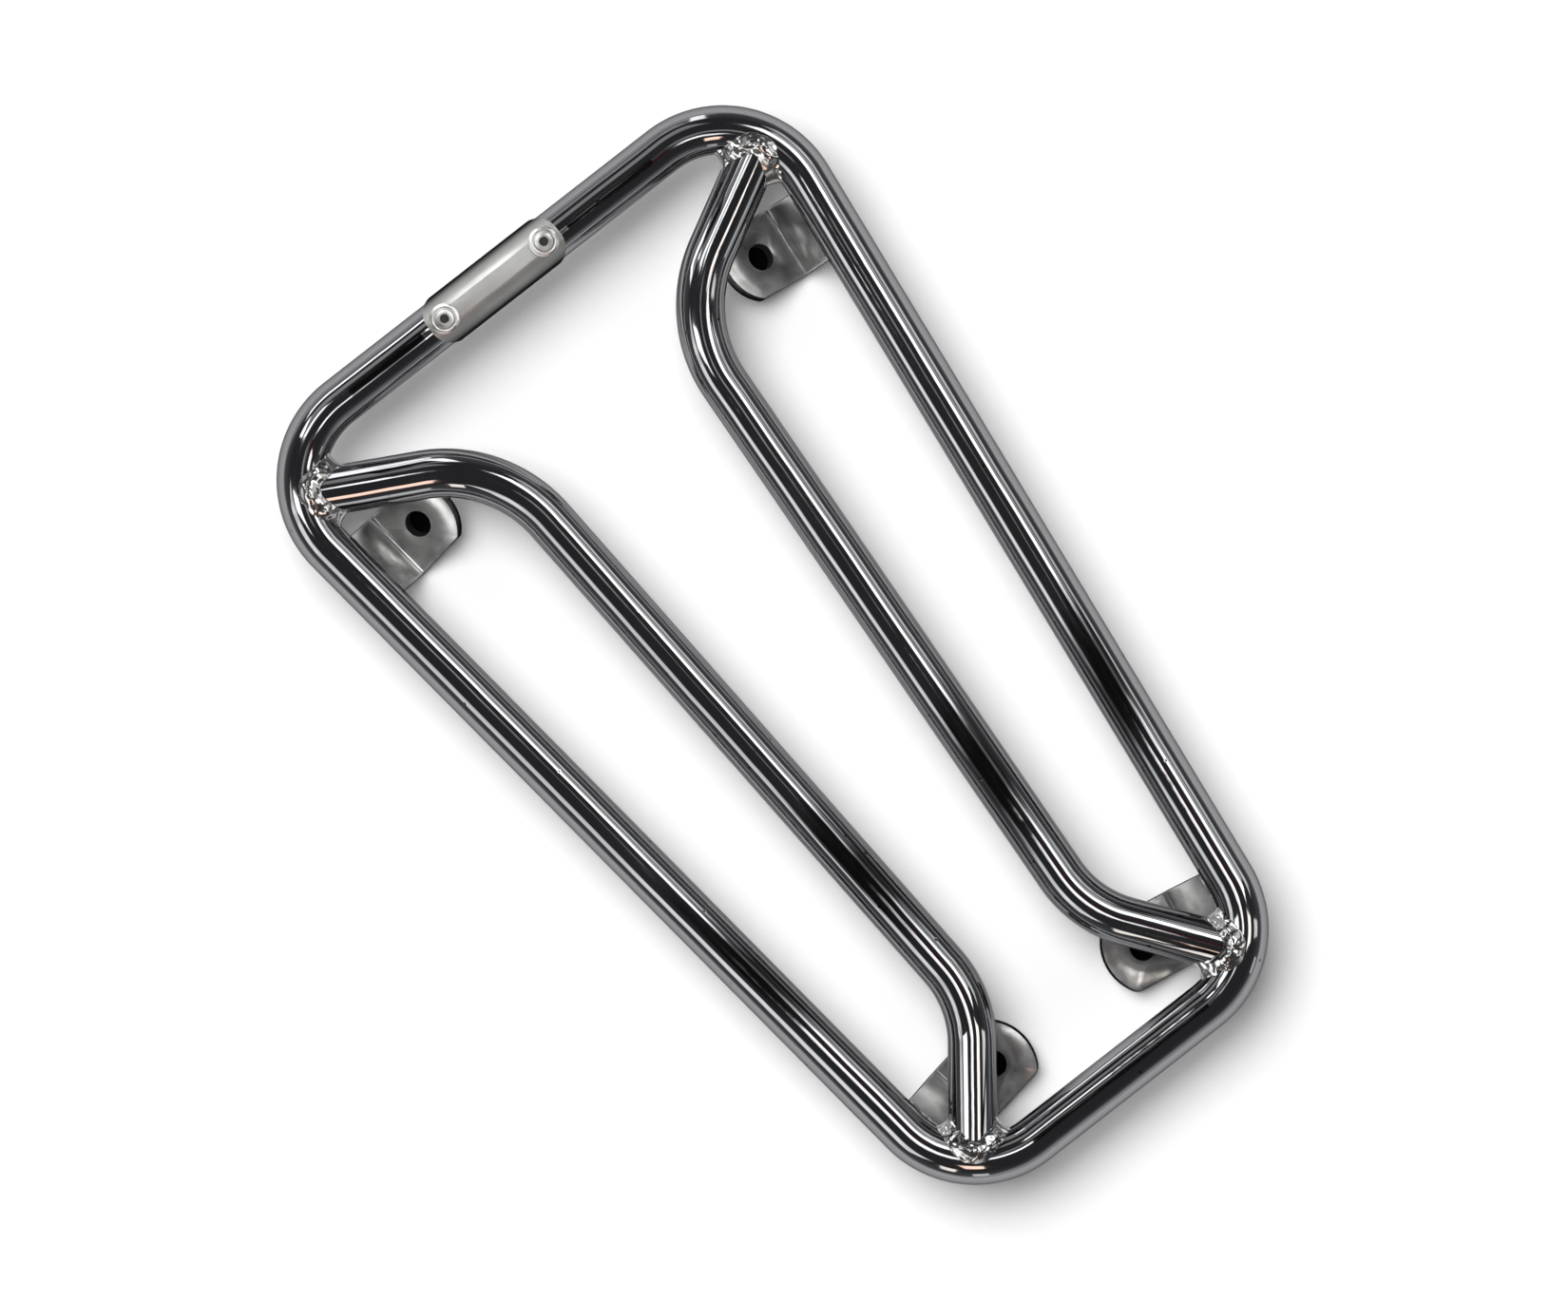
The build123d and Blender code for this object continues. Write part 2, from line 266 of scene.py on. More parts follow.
# The seam stops a little short of the loop's crest (SEAM_FLANK), and its string of weld lies nearer to mid
# height (STRING_DROP). Noise above LUMP_GROUND stands out as lumps, and noise below it makes hollows.
SEAM_STEPS = 120
SEAM_FLANK = 0.35
SEAM_WIDTH = 2.6 * MM
ARC_STEPS = 16
WELD_STUB = 17.0 * MM
WELD_VOXEL = 0.5 * MM
WELD_FLOW_STEPS = 80
WELD_LUMP = 1.3 * MM
WELD_SINK = 0.4 * MM
weld_lump_mm = 3.6
STRING_RADIUS = 2.7 * MM
STRING_RIPPLE = 0.4 * MM
STRING_LUMP = 1.2 * MM
STRING_STEP = 0.4 * MM
STRING_SIDES = 28
STRING_DROP = 0.88
PUDDLE_LENGTH = 3.4 * MM
NOTCH_RADIUS = 4.6 * MM
NOTCH_STRING = 1.6 * MM
NOTCH_HEIGHT = 4.2 * MM
NOTCH_STRINGS = 5
SMOOTH_HEIGHT = {"wide": 5.5 * MM, "narrow": 4.0 * MM}
SMOOTH_FADE = 2.5 * MM
LUMP_GROUND = 0.42

# Chrome over rough weld metal: broken bright and dark glints, slightly duller than the tubes.
chrome_weld, tree = new_material("chromed_weld_metal")
coords = add_node(tree, "ShaderNodeTexCoord").outputs["Object"]
grain_mm = 1.4
grain = add_node(tree, "ShaderNodeTexNoise", None,
                 {"Vector": coords, "Scale": 1000 / grain_mm, "Detail": 2.0})
spots = add_node(tree, "ShaderNodeTexNoise", None,
                 {"Vector": coords, "Scale": 1000 / weld_lump_mm, "Detail": 2.0})
weld_colour = add_node(tree, "ShaderNodeMix", {"data_type": "RGBA"},
                       {"Factor": spots.outputs["Fac"], "A": linear("#9a9896"), "B": linear("#d2d2d2")})
weld_roughness = add_node(tree, "ShaderNodeMapRange", None,
                          {"Value": spots.outputs["Fac"], "From Min": 0.3, "From Max": 0.7,
                           "To Min": 0.2, "To Max": 0.07})
grain_bump = add_node(tree, "ShaderNodeBump", None,
                      {"Height": grain.outputs["Fac"], "Strength": 0.5, "Distance": 0.025 * MM})
shader = add_node(tree, "ShaderNodeBsdfPrincipled", None,
                  {"Base Color": weld_colour.outputs["Result"], "Metallic": 1.0,
                   "Roughness": weld_roughness, "Normal": grain_bump})
add_node(tree, "ShaderNodeOutputMaterial", None, {"Surface": shader})

# The bead is a round string along the seam: puddle ripples set its girth, and noise pushes its skin about.
bead_tree, given = new_geometry_tree(
    "weld_bead", ["Bead radius", "Step", "Puddle length", "Ripple", "Lump size", "Lump", "Seed"])
line = add_node(bead_tree, "GeometryNodeMeshToCurve", None, {"Mesh": given["Geometry"]})
even = add_node(bead_tree, "GeometryNodeResampleCurve", {"mode": "LENGTH"},
                {"Curve": line, "Length": given["Step"]})
run = add_node(bead_tree, "GeometryNodeSplineParameter").outputs["Length"]
puddles = add_node(bead_tree, "ShaderNodeMath", {"operation": "DIVIDE"}, {0: run, 1: given["Puddle length"]})
puddle = add_node(bead_tree, "ShaderNodeMath", {"operation": "FRACT"}, {0: puddles})
crown = add_node(bead_tree, "ShaderNodeMath", {"operation": "SQRT"}, {0: puddle})
rise = add_node(bead_tree, "ShaderNodeMath", {"operation": "MULTIPLY"}, {0: crown, 1: given["Ripple"]})
girth = add_node(bead_tree, "ShaderNodeMath", {"operation": "ADD"}, {0: rise, 1: given["Bead radius"]})
section = add_node(bead_tree, "GeometryNodeCurvePrimitiveCircle", None,
                   {"Resolution": STRING_SIDES, "Radius": 1.0})
skin = add_node(bead_tree, "GeometryNodeCurveToMesh", None,
                {"Curve": even, "Profile Curve": section, "Fill Caps": True, "Scale": girth})
lump_scale = add_node(bead_tree, "ShaderNodeMath", {"operation": "DIVIDE"}, {0: 1.0, 1: given["Lump size"]})
lumps = add_node(bead_tree, "ShaderNodeTexNoise", {"noise_dimensions": "4D"},
                 {"W": given["Seed"], "Detail": 2.0, "Scale": lump_scale})
centred = add_node(bead_tree, "ShaderNodeMath", {"operation": "SUBTRACT"}, {0: lumps.outputs["Fac"], 1: 0.5})
push = add_node(bead_tree, "ShaderNodeMath", {"operation": "MULTIPLY"}, {0: centred, 1: given["Lump"]})
outward = add_node(bead_tree, "ShaderNodeVectorMath", {"operation": "SCALE"},
                   {0: add_node(bead_tree, "GeometryNodeInputNormal"), "Scale": push})
pushed = add_node(bead_tree, "GeometryNodeSetPosition", None, {"Geometry": skin, "Offset": outward})
close_geometry_tree(bead_tree, pushed, chrome_weld)

# Lumps rise along the seam and die away from it, where the weld sinks under the tubes' skins.
# At mid height, in the notches, the weld metal stays smooth.
lump_tree, given = new_geometry_tree(
    "weld_lumps", ["Lump size", "Lump", "Sink", "Seam width", "Middle height", "Smooth height", "Seed"],
    ["Seam"])
lump_scale = add_node(lump_tree, "ShaderNodeMath", {"operation": "DIVIDE"}, {0: 1.0, 1: given["Lump size"]})
lumps = add_node(lump_tree, "ShaderNodeTexNoise", {"noise_dimensions": "4D"},
                 {"W": given["Seed"], "Detail": 1.0, "Scale": lump_scale})
seam_line = add_node(lump_tree, "GeometryNodeObjectInfo", None, {"Object": given["Seam"]})
away = add_node(lump_tree, "GeometryNodeProximity", {"target_element": "EDGES"},
                {0: seam_line.outputs["Geometry"]})
edge = add_node(lump_tree, "ShaderNodeMath", {"operation": "MULTIPLY"}, {0: given["Seam width"], 1: 2.0})
fade = add_node(lump_tree, "ShaderNodeMapRange", {"interpolation_type": "SMOOTHSTEP"},
                {"Value": away.outputs["Distance"], "From Min": given["Seam width"], "From Max": edge})
centred = add_node(lump_tree, "ShaderNodeMath", {"operation": "SUBTRACT"},
                   {0: lumps.outputs["Fac"], 1: LUMP_GROUND})
here = add_node(lump_tree, "ShaderNodeSeparateXYZ", None,
                {0: add_node(lump_tree, "GeometryNodeInputPosition")})
height = add_node(lump_tree, "ShaderNodeMath", {"operation": "SUBTRACT"},
                  {0: here.outputs["Z"], 1: given["Middle height"]})
height = add_node(lump_tree, "ShaderNodeMath", {"operation": "ABSOLUTE"}, {0: height})
calm = add_node(lump_tree, "ShaderNodeMath", {"operation": "SUBTRACT"},
                {0: given["Smooth height"], 1: SMOOTH_FADE})
rough = add_node(lump_tree, "ShaderNodeMapRange", {"interpolation_type": "SMOOTHSTEP"},
                 {"Value": height, "From Min": calm, "From Max": given["Smooth height"]})
full_rise = add_node(lump_tree, "ShaderNodeMath", {"operation": "MULTIPLY"}, {0: centred, 1: given["Lump"]})
rise = add_node(lump_tree, "ShaderNodeMath", {"operation": "MULTIPLY"}, {0: full_rise, 1: rough})
sink = add_node(lump_tree, "ShaderNodeMath", {"operation": "MULTIPLY"}, {0: given["Sink"], 1: -1.0})
push = add_node(lump_tree, "ShaderNodeMix", {"data_type": "FLOAT"}, {"Factor": fade, "A": rise, "B": sink})
outward = add_node(lump_tree, "ShaderNodeVectorMath", {"operation": "SCALE"},
                   {0: add_node(lump_tree, "GeometryNodeInputNormal"), "Scale": push.outputs["Result"]})
pushed = add_node(lump_tree, "GeometryNodeSetPosition", None,
                  {"Geometry": given["Geometry"], "Offset": outward})
close_geometry_tree(lump_tree, pushed, chrome_weld)


def rail_seam(end):
    """The line where the right rail's skin meets the loop's bend at one end."""
    _, centre, _ = corner_of(end)
    landing, rail_bend = rail_points(end)
    inward = (rail_bend - landing).normalized()
    across = inward.cross(Vector((0, 0, 1)))
    seam = []
    for i in range(SEAM_STEPS):
        turn = 2 * pi * i / SEAM_STEPS
        start = landing + (across * cos(turn) + Vector((0, 0, sin(turn)))) * TUBE_RADIUS
        to_centre = Vector((centre.x - start.x, centre.y - start.y, 0.0))
        ahead = to_centre.dot(inward)
        bend_reach = LOOP_BEND_RADIUS - TUBE_RADIUS * max(abs(cos(turn)), SEAM_FLANK)
        seam.append(start + inward * (ahead - sqrt(ahead ** 2 - to_centre.length_squared + bend_reach ** 2)))
    return seam


def notch_lines(end):
    """Short upright lines round an arch in each notch beside the right rail, which build a hollow fillet."""
    _, centre, _ = corner_of(end)
    landing, rail_bend = rail_points(end)
    inward = (rail_bend - landing).normalized()
    across = inward.cross(Vector((0, 0, 1)))
    seam = rail_seam(end)
    lines = []
    for start, outward in ((seam[0], across), (seam[SEAM_STEPS // 2], -across)):
        spoke = (start - centre).normalized()
        along_loop = Vector((-spoke.y, spoke.x, 0.0))
        along_loop *= 1.0 if along_loop.dot(outward) > 0 else -1.0
        opening = (inward + along_loop).normalized()
        half_angle = acos(inward.dot(opening))
        arch = start + opening * (NOTCH_RADIUS / sin(half_angle))
        for step in range(NOTCH_STRINGS):
            lean = Euler((0, 0, (pi / 2 - half_angle) * (2 * step / (NOTCH_STRINGS - 1) - 1)))
            middle = arch - (lean.to_matrix() @ opening) * (NOTCH_RADIUS + NOTCH_STRING)
            heights = [tube_height + NOTCH_HEIGHT * i / 2 for i in (-2, -1, 0, 1, 2)]
            lines.append([Vector((middle.x, middle.y, z)) for z in heights])
    return lines


def loop_arc(end):
    """A short run of the loop's bend on both sides of where the right rail lands."""
    _, centre, _ = corner_of(end)
    spoke = rail_points(end)[0] - centre
    middle = atan2(spoke.y, spoke.x)
    steps = [2 * i / ARC_STEPS - 1 for i in range(ARC_STEPS + 1)]
    turns = [middle + step * WELD_STUB / LOOP_BEND_RADIUS for step in steps]
    return [centre + Vector((cos(t), sin(t), 0.0)) * LOOP_BEND_RADIUS for t in turns]


def from_bmesh(name, shape):
    """An object with a built shape as its mesh."""
    mesh = bpy.data.meshes.new(name)
    shape.to_mesh(mesh)
    shape.free()
    return placed(name, mesh)


def run_together(weld, voxel, flow_steps):
    """Melts an object's parts into one body and lets its skin flow."""
    remesh = weld.modifiers.new("one_body", "REMESH")
    remesh.mode = "VOXEL"
    remesh.voxel_size = voxel
    flow = weld.modifiers.new("flow", "SMOOTH")
    flow.factor = 0.5
    flow.iterations = flow_steps


def settle(weld):
    """Keeps what an object's modifiers make of it as its own mesh."""
    mesh = as_plain_mesh(weld)
    weld.modifiers.clear()
    weld.data = mesh


def flowed_weld(name, end, side, seed):
    """Weld metal that flows over the ends of both tubes, with the tubes taken out of it again."""
    landing, rail_bend = rail_points(end)
    stub = [landing, landing + (rail_bend - landing).normalized() * (TUBE_RADIUS + WELD_STUB)]
    string = [Vector((p.x, p.y, tube_height + (p.z - tube_height) * STRING_DROP)) for p in rail_seam(end)]
    lines = [loop_arc(end), stub, string] + notch_lines(end)
    if side == "left":
        lines = [flipped(points) for points in lines]
    arc, stub, string = lines[:3]
    string_values = {"Bead radius": STRING_RADIUS, "Step": STRING_STEP, "Puddle length": PUDDLE_LENGTH,
                     "Ripple": STRING_RIPPLE, "Lump size": weld_lump_mm * MM, "Lump": STRING_LUMP,
                     "Seed": seed}
    notch_values = {**string_values, "Bead radius": NOTCH_STRING, "Ripple": 0.0, "Lump": 0.0}
    parts = [grown_along("arc", arc, False, tube_tree, tube_values, {"bend_radius": [0.0] * len(arc)}),
             grown_along("stub", stub, False, tube_tree, tube_values, {"bend_radius": [0.0] * len(stub)}),
             grown_along("string", string, True, bead_tree, string_values)]
    parts += [grown_along("notch", points, False, bead_tree, notch_values) for points in lines[3:]]
    joined = bmesh.new()
    for part in parts:
        joined.from_mesh(part.data)
        bpy.data.objects.remove(part)
    weld = from_bmesh(name, joined)
    run_together(weld, WELD_VOXEL, WELD_FLOW_STEPS)
    seam = line_object(name + "_seam", string, True)
    shape_with(weld, lump_tree, {"Lump size": weld_lump_mm * MM, "Lump": WELD_LUMP, "Sink": WELD_SINK,
                                 "Seam width": SEAM_WIDTH, "Seed": seed, "Seam": seam,
                                 "Middle height": tube_height, "Smooth height": SMOOTH_HEIGHT[end]})
    for tube in (loop, rails[side]):
        cut = weld.modifiers.new("tube_out", "BOOLEAN")
        cut.operation = "DIFFERENCE"
        cut.solver = "MANIFOLD"
        cut.object = tube
    settle(weld)
    bpy.data.objects.remove(seam)
    return weld


four_corners = [(end, side) for end in ("wide", "narrow") for side in ("left", "right")]
FIRST_RAIL_SEED = 3.0
for number, (end, side) in enumerate(four_corners):
    weld = flowed_weld(f"{end}_rail_bead_{side}", end, side, FIRST_RAIL_SEED + number)
    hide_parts(f"{end}_rail_weld_{side}")
    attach(weld, "root")

# Mounting tabs: four flat steel bars, sheared, folded once, drilled and welded under the loop's sides.
# They are plated with little polishing, so their faces stay cloudy and wavy; their sheared edges are painted
# dark.
# The walls of their bolt holes are painted almost black as shade.
TAB_EDGE = 0.35 * MM
TAB_THICKNESS = 4.0 * MM
MOST_THICKNESS = 1.4 * TAB_THICKNESS
RAY_START = 0.05 * MM
RAY_REACH = 60.0 * MM
HOLE_MARGIN = 0.02 * MM
JOIN_DISTANCE = 0.002 * MM
BROKEN_EDGE_TURN = radians(40)
CRISP_TURN = radians(35)

# Chrome over mill-finish bar: a soft, cloudy mirror with drawn-out grey patches and small scuffs.
chrome_bar, tree = new_material("chromed_flat_bar")
coords = add_node(tree, "ShaderNodeTexCoord").outputs["Object"]
cloud_mm = 14.0
dent_mm = 8.0
scuff_mm = 2.5
cloud = add_node(tree, "ShaderNodeTexNoise", None,
                 {"Vector": coords, "Scale": 1000 / cloud_mm, "Detail": 2.0})
dents = add_node(tree, "ShaderNodeTexNoise", None,
                 {"Vector": coords, "Scale": 1000 / dent_mm, "Detail": 1.0})
scuffs = add_node(tree, "ShaderNodeTexNoise", None,
                  {"Vector": coords, "Scale": 1000 / scuff_mm, "Detail": 3.0})
bar_tone = add_node(tree, "ShaderNodeMapRange", {"clamp": True},
                    {"Value": cloud.outputs["Fac"], "From Min": 0.3, "From Max": 0.7})
bar_colour = add_node(tree, "ShaderNodeMix", {"data_type": "RGBA"},
                      {"Factor": bar_tone, "A": linear("#7c7c7c"), "B": linear("#e2e2e0")})
bar_roughness = add_node(tree, "ShaderNodeMapRange", None,
                         {"Value": scuffs.outputs["Fac"], "From Min": 0.3, "From Max": 0.7,
                          "To Min": 0.2, "To Max": 0.26})
dent_bump = add_node(tree, "ShaderNodeBump", None,
                     {"Height": dents.outputs["Fac"], "Strength": 1.0, "Distance": 0.08 * MM})
shader = add_node(tree, "ShaderNodeBsdfPrincipled", None,
                  {"Base Color": bar_colour.outputs["Result"], "Metallic": 0.86,
                   "Roughness": bar_roughness, "Normal": dent_bump})
add_node(tree, "ShaderNodeOutputMaterial", None, {"Surface": shader})

# Chrome over sheared steel: the narrow faces round a tab are dull and carry a painted dark reflection, with
# a drawn, patchy grain.
painted_dark_rim, tree = new_material("chromed_sheared_edge")
coords = add_node(tree, "ShaderNodeTexCoord").outputs["Object"]
shear_mm = 2.0
shear = add_node(tree, "ShaderNodeTexNoise", None,
                 {"Vector": coords, "Scale": 1000 / shear_mm, "Detail": 3.0})
# Painted reflection: the rim's metal colour is held near black, so the tab's edges show dark outlines.
rim_reflection_colour = add_node(tree, "ShaderNodeMix", {"data_type": "RGBA"},
                      {"Factor": shear.outputs["Fac"], "A": linear("#2e2e2e"), "B": linear("#626262")})
shear_bump = add_node(tree, "ShaderNodeBump", None,
                      {"Height": shear.outputs["Fac"], "Strength": 0.6, "Distance": 0.05 * MM})
shader = add_node(tree, "ShaderNodeBsdfPrincipled", None,
                  {"Base Color": rim_reflection_colour.outputs["Result"], "Metallic": 1.0, "Roughness": 0.34,
                   "Specular Tint": linear("#303030"), "Normal": shear_bump})
add_node(tree, "ShaderNodeOutputMaterial", None, {"Surface": shader})

# Down a bolt hole the wall is painted matt and almost black, as shade.
hole_shade_finish, tree = new_material("unplated_hole_wall")
coords = add_node(tree, "ShaderNodeTexCoord").outputs["Object"]
stain_mm = 1.5
stain = add_node(tree, "ShaderNodeTexNoise", None,
                 {"Vector": coords, "Scale": 1000 / stain_mm, "Detail": 2.0})
# Painted shade: near-black tones for the hole's recess.
wall_shade_colour = add_node(tree, "ShaderNodeMix", {"data_type": "RGBA"},
                       {"Factor": stain.outputs["Fac"], "A": linear("#141313"), "B": linear("#2a2826")})
shader = add_node(tree, "ShaderNodeBsdfPrincipled", None,
                  {"Base Color": wall_shade_colour.outputs["Result"], "Roughness": 0.8, "Specular IOR Level": 0.1})
add_node(tree, "ShaderNodeOutputMaterial", None, {"Surface": shader})

# A face with more steel behind it than the bar is thick is a sheared one, and one within the bolt
# hole's radius of its axis is the hole's wall.
sheared_tree, given = new_geometry_tree(
    "sheared_faces", ["Most thickness", "Start depth", "Reach", "Hole radius",
                      "Hole x", "Hole y", "Hole z", "Axis x", "Axis y", "Axis z"])
here = add_node(sheared_tree, "GeometryNodeInputPosition")
facing = add_node(sheared_tree, "GeometryNodeInputNormal")
behind = add_node(sheared_tree, "ShaderNodeVectorMath", {"operation": "SCALE"}, {0: facing, "Scale": -1.0})
step_in = add_node(sheared_tree, "ShaderNodeVectorMath", {"operation": "SCALE"},
                   {0: behind, "Scale": given["Start depth"]})
start = add_node(sheared_tree, "ShaderNodeVectorMath", {"operation": "ADD"}, {0: here, 1: step_in})
through = add_node(sheared_tree, "GeometryNodeRaycast", None,
                   {"Target Geometry": given["Geometry"], "Source Position": start,
                    "Ray Direction": behind, "Ray Length": given["Reach"]})
near = add_node(sheared_tree, "FunctionNodeCompare", {"operation": "LESS_THAN"},
                {"A": through.outputs["Hit Distance"], "B": given["Most thickness"]})
thick = add_node(sheared_tree, "FunctionNodeBooleanMath", {"operation": "NAND"},
                 {0: through.outputs["Is Hit"], 1: near})
dressed = add_node(sheared_tree, "GeometryNodeSetMaterial", None,
                   {"Geometry": given["Geometry"], "Selection": thick, "Material": painted_dark_rim})
hole_place = add_node(sheared_tree, "ShaderNodeCombineXYZ", None,
                      {axis: given["Hole " + axis.lower()] for axis in "XYZ"})
hole_axis = add_node(sheared_tree, "ShaderNodeCombineXYZ", None,
                     {axis: given["Axis " + axis.lower()] for axis in "XYZ"})
away = add_node(sheared_tree, "ShaderNodeVectorMath", {"operation": "SUBTRACT"}, {0: here, 1: hole_place})
across = add_node(sheared_tree, "ShaderNodeVectorMath", {"operation": "CROSS_PRODUCT"},
                  {0: away, 1: hole_axis})
off_axis = add_node(sheared_tree, "ShaderNodeVectorMath", {"operation": "LENGTH"}, {0: across})
walled = add_node(sheared_tree, "FunctionNodeCompare", {"operation": "LESS_THAN"},
                  {"A": off_axis.outputs["Value"], "B": given["Hole radius"]})
lined = add_node(sheared_tree, "GeometryNodeSetMaterial", None,
                 {"Geometry": dressed, "Selection": walled, "Material": hole_shade_finish})
add_node(sheared_tree, "NodeGroupOutput", None, {0: lined})

# Faces are shaded smooth up to a turn between neighbours, past which an edge stays crisp.
crisp_tree, given = new_geometry_tree("crisp_edges", ["Crisp turn"])
turn = add_node(crisp_tree, "GeometryNodeInputMeshEdgeAngle").outputs["Unsigned Angle"]
crisp = add_node(crisp_tree, "FunctionNodeCompare", {"operation": "GREATER_THAN"},
                 {"A": turn, "B": given["Crisp turn"]})
smooth = add_node(crisp_tree, "GeometryNodeSetShadeSmooth", None, {0: given["Geometry"]})
edged = add_node(crisp_tree, "GeometryNodeSetShadeSmooth", {"domain": "EDGE"},
                 {0: smooth, "Selection": crisp, "Shade Smooth": False})
add_node(crisp_tree, "NodeGroupOutput", None, {0: edged})


def finish_node(node, material, edge_width, hole=None):
    """Gives a CAD node its finish, joined faces, finely broken edges and, if drilled, its sheared faces."""
    piece = frame["nodes"][node]
    for holder in piece.material_slots:
        holder.material = material
    join = piece.modifiers.new("join", "WELD")
    join.merge_threshold = JOIN_DISTANCE
    if hole:
        values = {"Most thickness": MOST_THICKNESS, "Start depth": RAY_START, "Reach": RAY_REACH,
                  "Hole radius": hole["dims"]["r_mm"] * MM + HOLE_MARGIN}
        for axis, place, way in zip("xyz", hole["pos_m"], hole["axis"]):
            values["Hole " + axis] = place
            values["Axis " + axis] = way
        shape_with(piece, sheared_tree, values)
    if edge_width:
        soften = piece.modifiers.new("broken_edges", "BEVEL")
        soften.width = edge_width
        soften.segments = 2
        soften.limit_method = "ANGLE"
        soften.angle_limit = BROKEN_EDGE_TURN
    shape_with(piece, crisp_tree, {"Crisp turn": CRISP_TURN})


bolt_holes = {mount["name"]: mount for mount in frame["record"]["mounts"]}
for end, side in four_corners:
    finish_node(f"{end}_tab_{side}", chrome_bar, TAB_EDGE, bolt_holes[f"{end}_tab_hole_{side}"])

# Tab welds: a fillet of weld metal along both faces of each tab's web, where it meets the tube.
# They are small hand-laid beads, lumpy and plated over like the rail welds.
TAB_BEAD_VOXEL = 0.35 * MM
TAB_BEAD_FLOW_STEPS = 4
TAB_BEAD_LUMP = 1.2 * MM
TAB_SEAM_WIDTH = 1.0 * MM
FIRST_TAB_SEED = 11.0

for number, (end, side) in enumerate(four_corners):
    node = f"{end}_tab_weld_{side}"
    joined = bmesh.new()
    joined.from_mesh(frame["nodes"][node].data)
    bmesh.ops.remove_doubles(joined, verts=joined.verts, dist=JOIN_DISTANCE)
    bead = from_bmesh(f"{end}_tab_bead_{side}", joined)
    run_together(bead, TAB_BEAD_VOXEL, TAB_BEAD_FLOW_STEPS)
    shape_with(bead, lump_tree, {"Lump size": weld_lump_mm * MM, "Lump": TAB_BEAD_LUMP, "Sink": 0.0,
                                 "Seam width": TAB_SEAM_WIDTH, "Seed": FIRST_TAB_SEED + number,
                                 "Middle height": 0.0, "Smooth height": 0.0})
    settle(bead)
    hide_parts(node)
    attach(bead, "root")

# Badge plate: a thin aluminium plate rolled to the tube and riveted over the wide end. It is left bare.
# Its face is brushed along the tube and worn to a satin, with painted shade darkening it down its flanks.
PLATE_EDGE = 0.2 * MM

# Satin aluminium: fine streaks along the tube and a pale worn bloom, lighter on top and darkened by painted
# shade down its flanks. The streaks are drawn coarser than real brush marks, so that they show.
satin_plate, tree = new_material("satin_brushed_aluminium")
coords = add_node(tree, "ShaderNodeTexCoord").outputs["Object"]
brush_width_mm = 0.5
brush_length_mm = 14.0
bloom_mm = 12.0
flank_shade_low_mm = 3.4
flank_shade_high_mm = 8.7
brush_scale = (1000 / brush_length_mm, 1000 / brush_width_mm, 1000 / brush_width_mm)
brushed = add_node(tree, "ShaderNodeMapping", None, {"Vector": coords, "Scale": brush_scale})
brush = add_node(tree, "ShaderNodeTexNoise", None, {"Vector": brushed, "Scale": 1.0, "Detail": 3.0})
bloom = add_node(tree, "ShaderNodeTexNoise", None,
                 {"Vector": coords, "Scale": 1000 / bloom_mm, "Detail": 2.0})
plate_tone = add_node(tree, "ShaderNodeMix", {"data_type": "RGBA"},
                      {"Factor": bloom.outputs["Fac"], "A": linear("#b0b0ae"), "B": linear("#d0d0ce")})
plate_height = add_node(tree, "ShaderNodeSeparateXYZ", None, {0: coords}).outputs["Z"]
# Painted shade: below the given heights the plate's colour runs down to dark grey.
flank_shade = add_node(tree, "ShaderNodeMapRange", {"interpolation_type": "SMOOTHSTEP"},
                  {"Value": plate_height, "From Min": tube_height + flank_shade_low_mm * MM,
                   "From Max": tube_height + flank_shade_high_mm * MM})
plate_colour = add_node(tree, "ShaderNodeMix", {"data_type": "RGBA"},
                        {"Factor": flank_shade, "A": linear("#4a4a4a"), "B": plate_tone.outputs["Result"]})
plate_roughness = add_node(tree, "ShaderNodeMapRange", None,
                           {"Value": brush.outputs["Fac"], "From Min": 0.3, "From Max": 0.7,
                            "To Min": 0.38, "To Max": 0.5})
brush_bump = add_node(tree, "ShaderNodeBump", None,
                      {"Height": brush.outputs["Fac"], "Strength": 0.6, "Distance": 0.03 * MM})
shader = add_node(tree, "ShaderNodeBsdfPrincipled", None,
                  {"Base Color": plate_colour.outputs["Result"], "Metallic": 1.0,
                   "Specular Tint": linear("#3a3a3a"), "Roughness": plate_roughness, "Normal": brush_bump})
add_node(tree, "ShaderNodeOutputMaterial", None, {"Surface": shader})
finish_node("badge_plate", satin_plate, PLATE_EDGE)

# Rivets: two blind aluminium rivets with domed heads, pulled through the plate and the tube's wall.
# Their heads are rubbed bright by the setting tool, whose nose leaves a ring on each.
RIVET_EDGE = 0.12 * MM

# Bright aluminium: a blurred mirror on the dome, with the ring pressed into it and small nicks.
bright_rivet, tree = new_material("bright_aluminium_rivet")
coords = add_node(tree, "ShaderNodeTexCoord").outputs["Object"]
nick_mm = 1.1
ring_radius_mm = 3.5
ring_width_mm = 0.6
ring_depth_mm = 0.3
rivet_middles = [sum(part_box("rivet_" + side), Vector()) / 2 for side in ("left", "right")]
between = (rivet_middles[0] + rivet_middles[1]) / 2
half_spacing = abs(rivet_middles[1].x - rivet_middles[0].x) / 2
nicks = add_node(tree, "ShaderNodeTexNoise", None,
                 {"Vector": coords, "Scale": 1000 / nick_mm, "Detail": 3.0})
place = add_node(tree, "ShaderNodeVectorMath", {"operation": "SUBTRACT"}, {0: coords, 1: between})
place = add_node(tree, "ShaderNodeVectorMath", {"operation": "ABSOLUTE"}, {0: place})
from_axis = add_node(tree, "ShaderNodeVectorMath", {"operation": "SUBTRACT"},
                     {0: place, 1: (half_spacing, 0.0, 0.0)})
level = add_node(tree, "ShaderNodeVectorMath", {"operation": "MULTIPLY"}, {0: from_axis, 1: (1.0, 1.0, 0.0)})
radius = add_node(tree, "ShaderNodeVectorMath", {"operation": "LENGTH"}, {0: level}).outputs["Value"]
